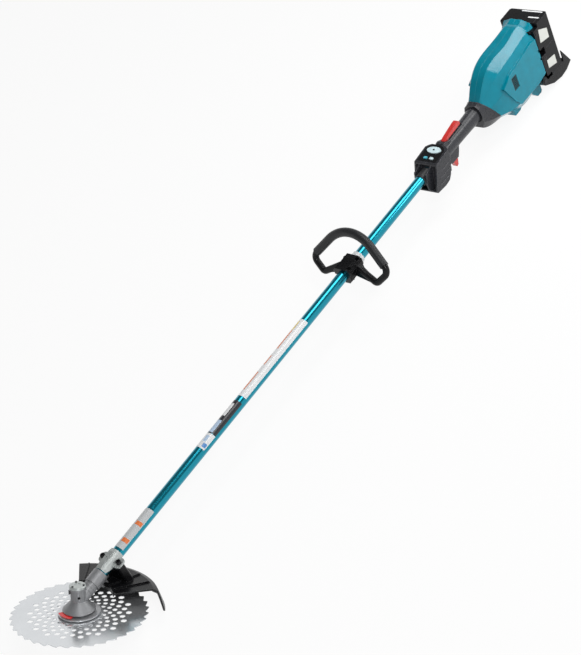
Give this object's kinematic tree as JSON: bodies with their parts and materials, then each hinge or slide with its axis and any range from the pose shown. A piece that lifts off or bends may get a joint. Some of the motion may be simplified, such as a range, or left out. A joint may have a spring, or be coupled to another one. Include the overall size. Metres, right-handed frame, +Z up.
{
  "type": "cordless brush cutter",
  "caption": "Cordless brush cutter: straight tube with an angled gear head and saw blade, guard, loop handle, control grip, motor housing and rear battery packs.",
  "frame": {"origin": "on the floor under the middle of the machine's length", "axes": "+X from the cutting head to the battery packs along the shaft, +Y to the user's right, +Z up"},
  "size_m": [1.8252, 0.255, 0.188],
  "materials": {
    "teal_metal": "metallic anodised",
    "teal_plastic": "gloss moulded",
    "black_plastic": "textured",
    "grey_plastic": "fine texture",
    "pack_plastic": "fine texture",
    "rubber": "soft grip",
    "red_plastic": "moulded",
    "light_plastic": "moulded",
    "button_plastic": "moulded",
    "cast": "cast, satin",
    "alloy": "die cast",
    "blade_steel": "ground",
    "washer_steel": "zinc plated",
    "dark_steel": "black oxide",
    "gear_steel": "ground",
    "board": "circuit board"
  },
  "bodies": {
    "frame": {"battery_mount": "black_plastic", "box_left": "grey_plastic", "box_right": "grey_plastic", "bumper": "black_plastic", "bumper_bolts": "dark_steel", "case_bolts": "dark_steel", "case_cap": "alloy", "collar_left": "grey_plastic", "collar_right": "grey_plastic", "control_board": "board", "display_panel": "black_plastic", "gear_case": "cast", "grip_left": "grey_plastic", "grip_right": "grey_plastic", "guard_bolts": "dark_steel", "guard_bracket": "alloy", "guard_shell": "black_plastic", "handle_bolts": "dark_steel", "handle_cap": "black_plastic", "handle_grip": "rubber", "handle_loop": "black_plastic", "handle_spacer": "light_plastic", "hinge_pins": "dark_steel", "housing_left": "teal_plastic", "housing_right": "teal_plastic", "housing_screws": "dark_steel", "main_pipe": "teal_metal", "motor_bearings": "gear_steel", "motor_controller": "cast", "motor_mount": "cast", "motor_stator": "gear_steel", "pinion_bearings": "gear_steel", "pipe_boot": "rubber", "shaft_bushes": "light_plastic", "spindle_bearings": "gear_steel", "vent_grilles": "black_plastic"},
    "cutter": {"blade": "blade_steel", "receiver_washer": "washer_steel", "clamp_washer": "washer_steel", "ground_cup": "washer_steel", "blade_nut": "washer_steel", "spindle": "gear_steel", "bevel_gear": "gear_steel"},
    "drive": {"bevel_pinion": "gear_steel", "drive_shaft": "gear_steel", "shaft_coupling": "gear_steel", "motor_rotor": "gear_steel", "cooling_fan": "grey_plastic"},
    "trigger_body": {"trigger": "red_plastic"},
    "lever_body": {"lock_off_lever": "red_plastic"},
    "power_key": {"power_button": "button_plastic"},
    "mode_key": {"mode_button": "button_plastic"},
    "reverse_key": {"reverse_button": "button_plastic"},
    "pack_a": {"pack_upper": "pack_plastic"},
    "pack_b": {"pack_lower": "pack_plastic"},
    "latch_a": {"latch_upper": "black_plastic"},
    "latch_b": {"latch_lower": "black_plastic"}
  },
  "joints": [
    {"name": "blade_spin", "type": "hinge", "parent": "frame", "child": "cutter", "pos_m": [-0.78939, 0, 0.1], "axis": [0.5, 0, 0.866], "continuous": true},
    {"name": "drive_spin", "type": "hinge", "parent": "frame", "child": "drive", "pos_m": [-0.78939, 0, 0.1], "axis": [1, 0, 0], "continuous": true},
    {"name": "trigger_pull", "type": "hinge", "parent": "frame", "child": "trigger_body", "pos_m": [0.49061, 0, 0.073], "axis": [0, -1, 0], "range_deg": [0, 12], "stiffness_Nm_per_rad": 0.4, "springref_deg": -20.05},
    {"name": "lock_off_press", "type": "hinge", "parent": "frame", "child": "lever_body", "pos_m": [0.49161, 0, 0.1178], "axis": [0, 1, 0], "range_deg": [0, 5], "stiffness_Nm_per_rad": 0.8, "springref_deg": -11.46},
    {"name": "power_press", "type": "slide", "parent": "frame", "child": "power_key", "axis": [0.0654, 0, -0.9979], "range_m": [0, 0.0012], "stiffness_N_per_m": 300, "springref_m": -0.0015},
    {"name": "mode_press", "type": "slide", "parent": "frame", "child": "mode_key", "axis": [0.0654, 0, -0.9979], "range_m": [0, 0.00096], "stiffness_N_per_m": 300, "springref_m": -0.0008},
    {"name": "reverse_press", "type": "slide", "parent": "frame", "child": "reverse_key", "axis": [0.0654, 0, -0.9979], "range_m": [0, 0.00096], "stiffness_N_per_m": 300, "springref_m": -0.0008},
    {"name": "upper_pack_slide", "type": "slide", "parent": "frame", "child": "pack_a", "axis": [0, -1, 0], "range_m": [0, 0.12]},
    {"name": "lower_pack_slide", "type": "slide", "parent": "frame", "child": "pack_b", "axis": [0, -1, 0], "range_m": [0, 0.12]},
    {"name": "upper_latch_press", "type": "slide", "parent": "pack_a", "child": "latch_a", "axis": [0, 1, 0], "range_m": [0, 0.003], "stiffness_N_per_m": 300, "springref_m": -0.002},
    {"name": "lower_latch_press", "type": "slide", "parent": "pack_b", "child": "latch_b", "axis": [0, 1, 0], "range_m": [0, 0.003], "stiffness_N_per_m": 300, "springref_m": -0.002}
  ],
  "couplings": [
    {"joint": "drive_spin", "follows": "blade_spin", "ratio": -1.3571}
  ]
}
